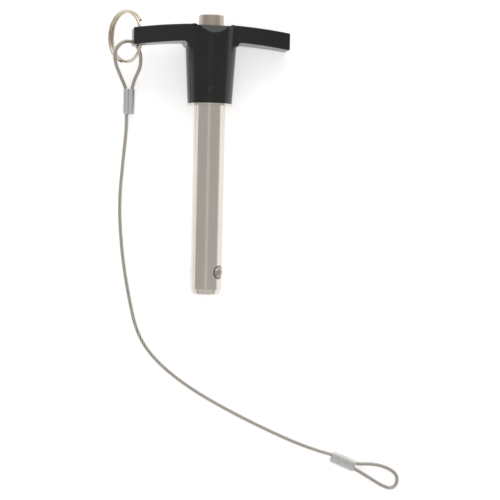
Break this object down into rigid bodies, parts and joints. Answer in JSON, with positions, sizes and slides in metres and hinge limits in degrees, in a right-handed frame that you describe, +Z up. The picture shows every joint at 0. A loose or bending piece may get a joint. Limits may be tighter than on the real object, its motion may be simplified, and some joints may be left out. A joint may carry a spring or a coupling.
{
  "type": "ball lock pin",
  "caption": "Quick-release ball lock pin with a curved T handle, a push button that lets the locking balls in, a split ring and a wire-rope lanyard.",
  "frame": {"origin": "on the pin's axis at the underside of the flange, where the shank begins", "axes": "+Y along the pin from the nose towards the button, level with the floor apart from the small tilt at which the pin lies; +X along the handle towards its bare arm; +Z up from the floor that it lies on"},
  "size_m": [0.1233, 0.1935, 0.0212],
  "materials": {
    "black_anodised_aluminium": "satin",
    "stainless_steel": "ground",
    "spring_steel": "bright",
    "blackened_steel": "black oxide",
    "ball_steel": "polished",
    "nickel_wire": "bright",
    "wire_rope": "stranded",
    "bare_aluminium": "swaged"
  },
  "bodies": {
    "handle": {"t_handle": "black_anodised_aluminium", "shank": "stainless_steel", "cross_pin": "blackened_steel", "return_spring": "spring_steel"},
    "plunger": {"button": "stainless_steel", "spindle": "stainless_steel"},
    "ball_front": {"ball_front": "ball_steel"},
    "ball_back": {"ball_back": "ball_steel"},
    "lanyard": {"split_ring": "nickel_wire", "lanyard_cable": "wire_rope", "upper_ferrule": "bare_aluminium", "lower_ferrule": "bare_aluminium"}
  },
  "joints": [
    {"name": "button_press", "type": "slide", "parent": "handle", "child": "plunger", "axis": [0, -0.9991, -0.0413], "range_m": [0, 0.004], "stiffness_N_per_m": 1500, "springref_m": -0.003, "deforming": ["return_spring"]},
    {"name": "ball_front_slide", "type": "slide", "parent": "handle", "child": "ball_front", "axis": [-0.819, 0.0237, -0.5733], "range_m": [0, 0.0012]},
    {"name": "ball_back_slide", "type": "slide", "parent": "handle", "child": "ball_back", "axis": [0.819, -0.0237, 0.5733], "range_m": [0, 0.0012]},
    {"name": "ring_swing", "type": "hinge", "parent": "handle", "child": "lanyard", "pos_m": [-0.02792, 0.02807, 0.00608], "axis": [0, 0.9991, 0.0413], "range_deg": [-40, 180]}
  ],
  "couplings": [
    {"joint": "ball_front_slide", "follows": "button_press", "ratio": 0.3},
    {"joint": "ball_back_slide", "follows": "button_press", "ratio": 0.3}
  ]
}
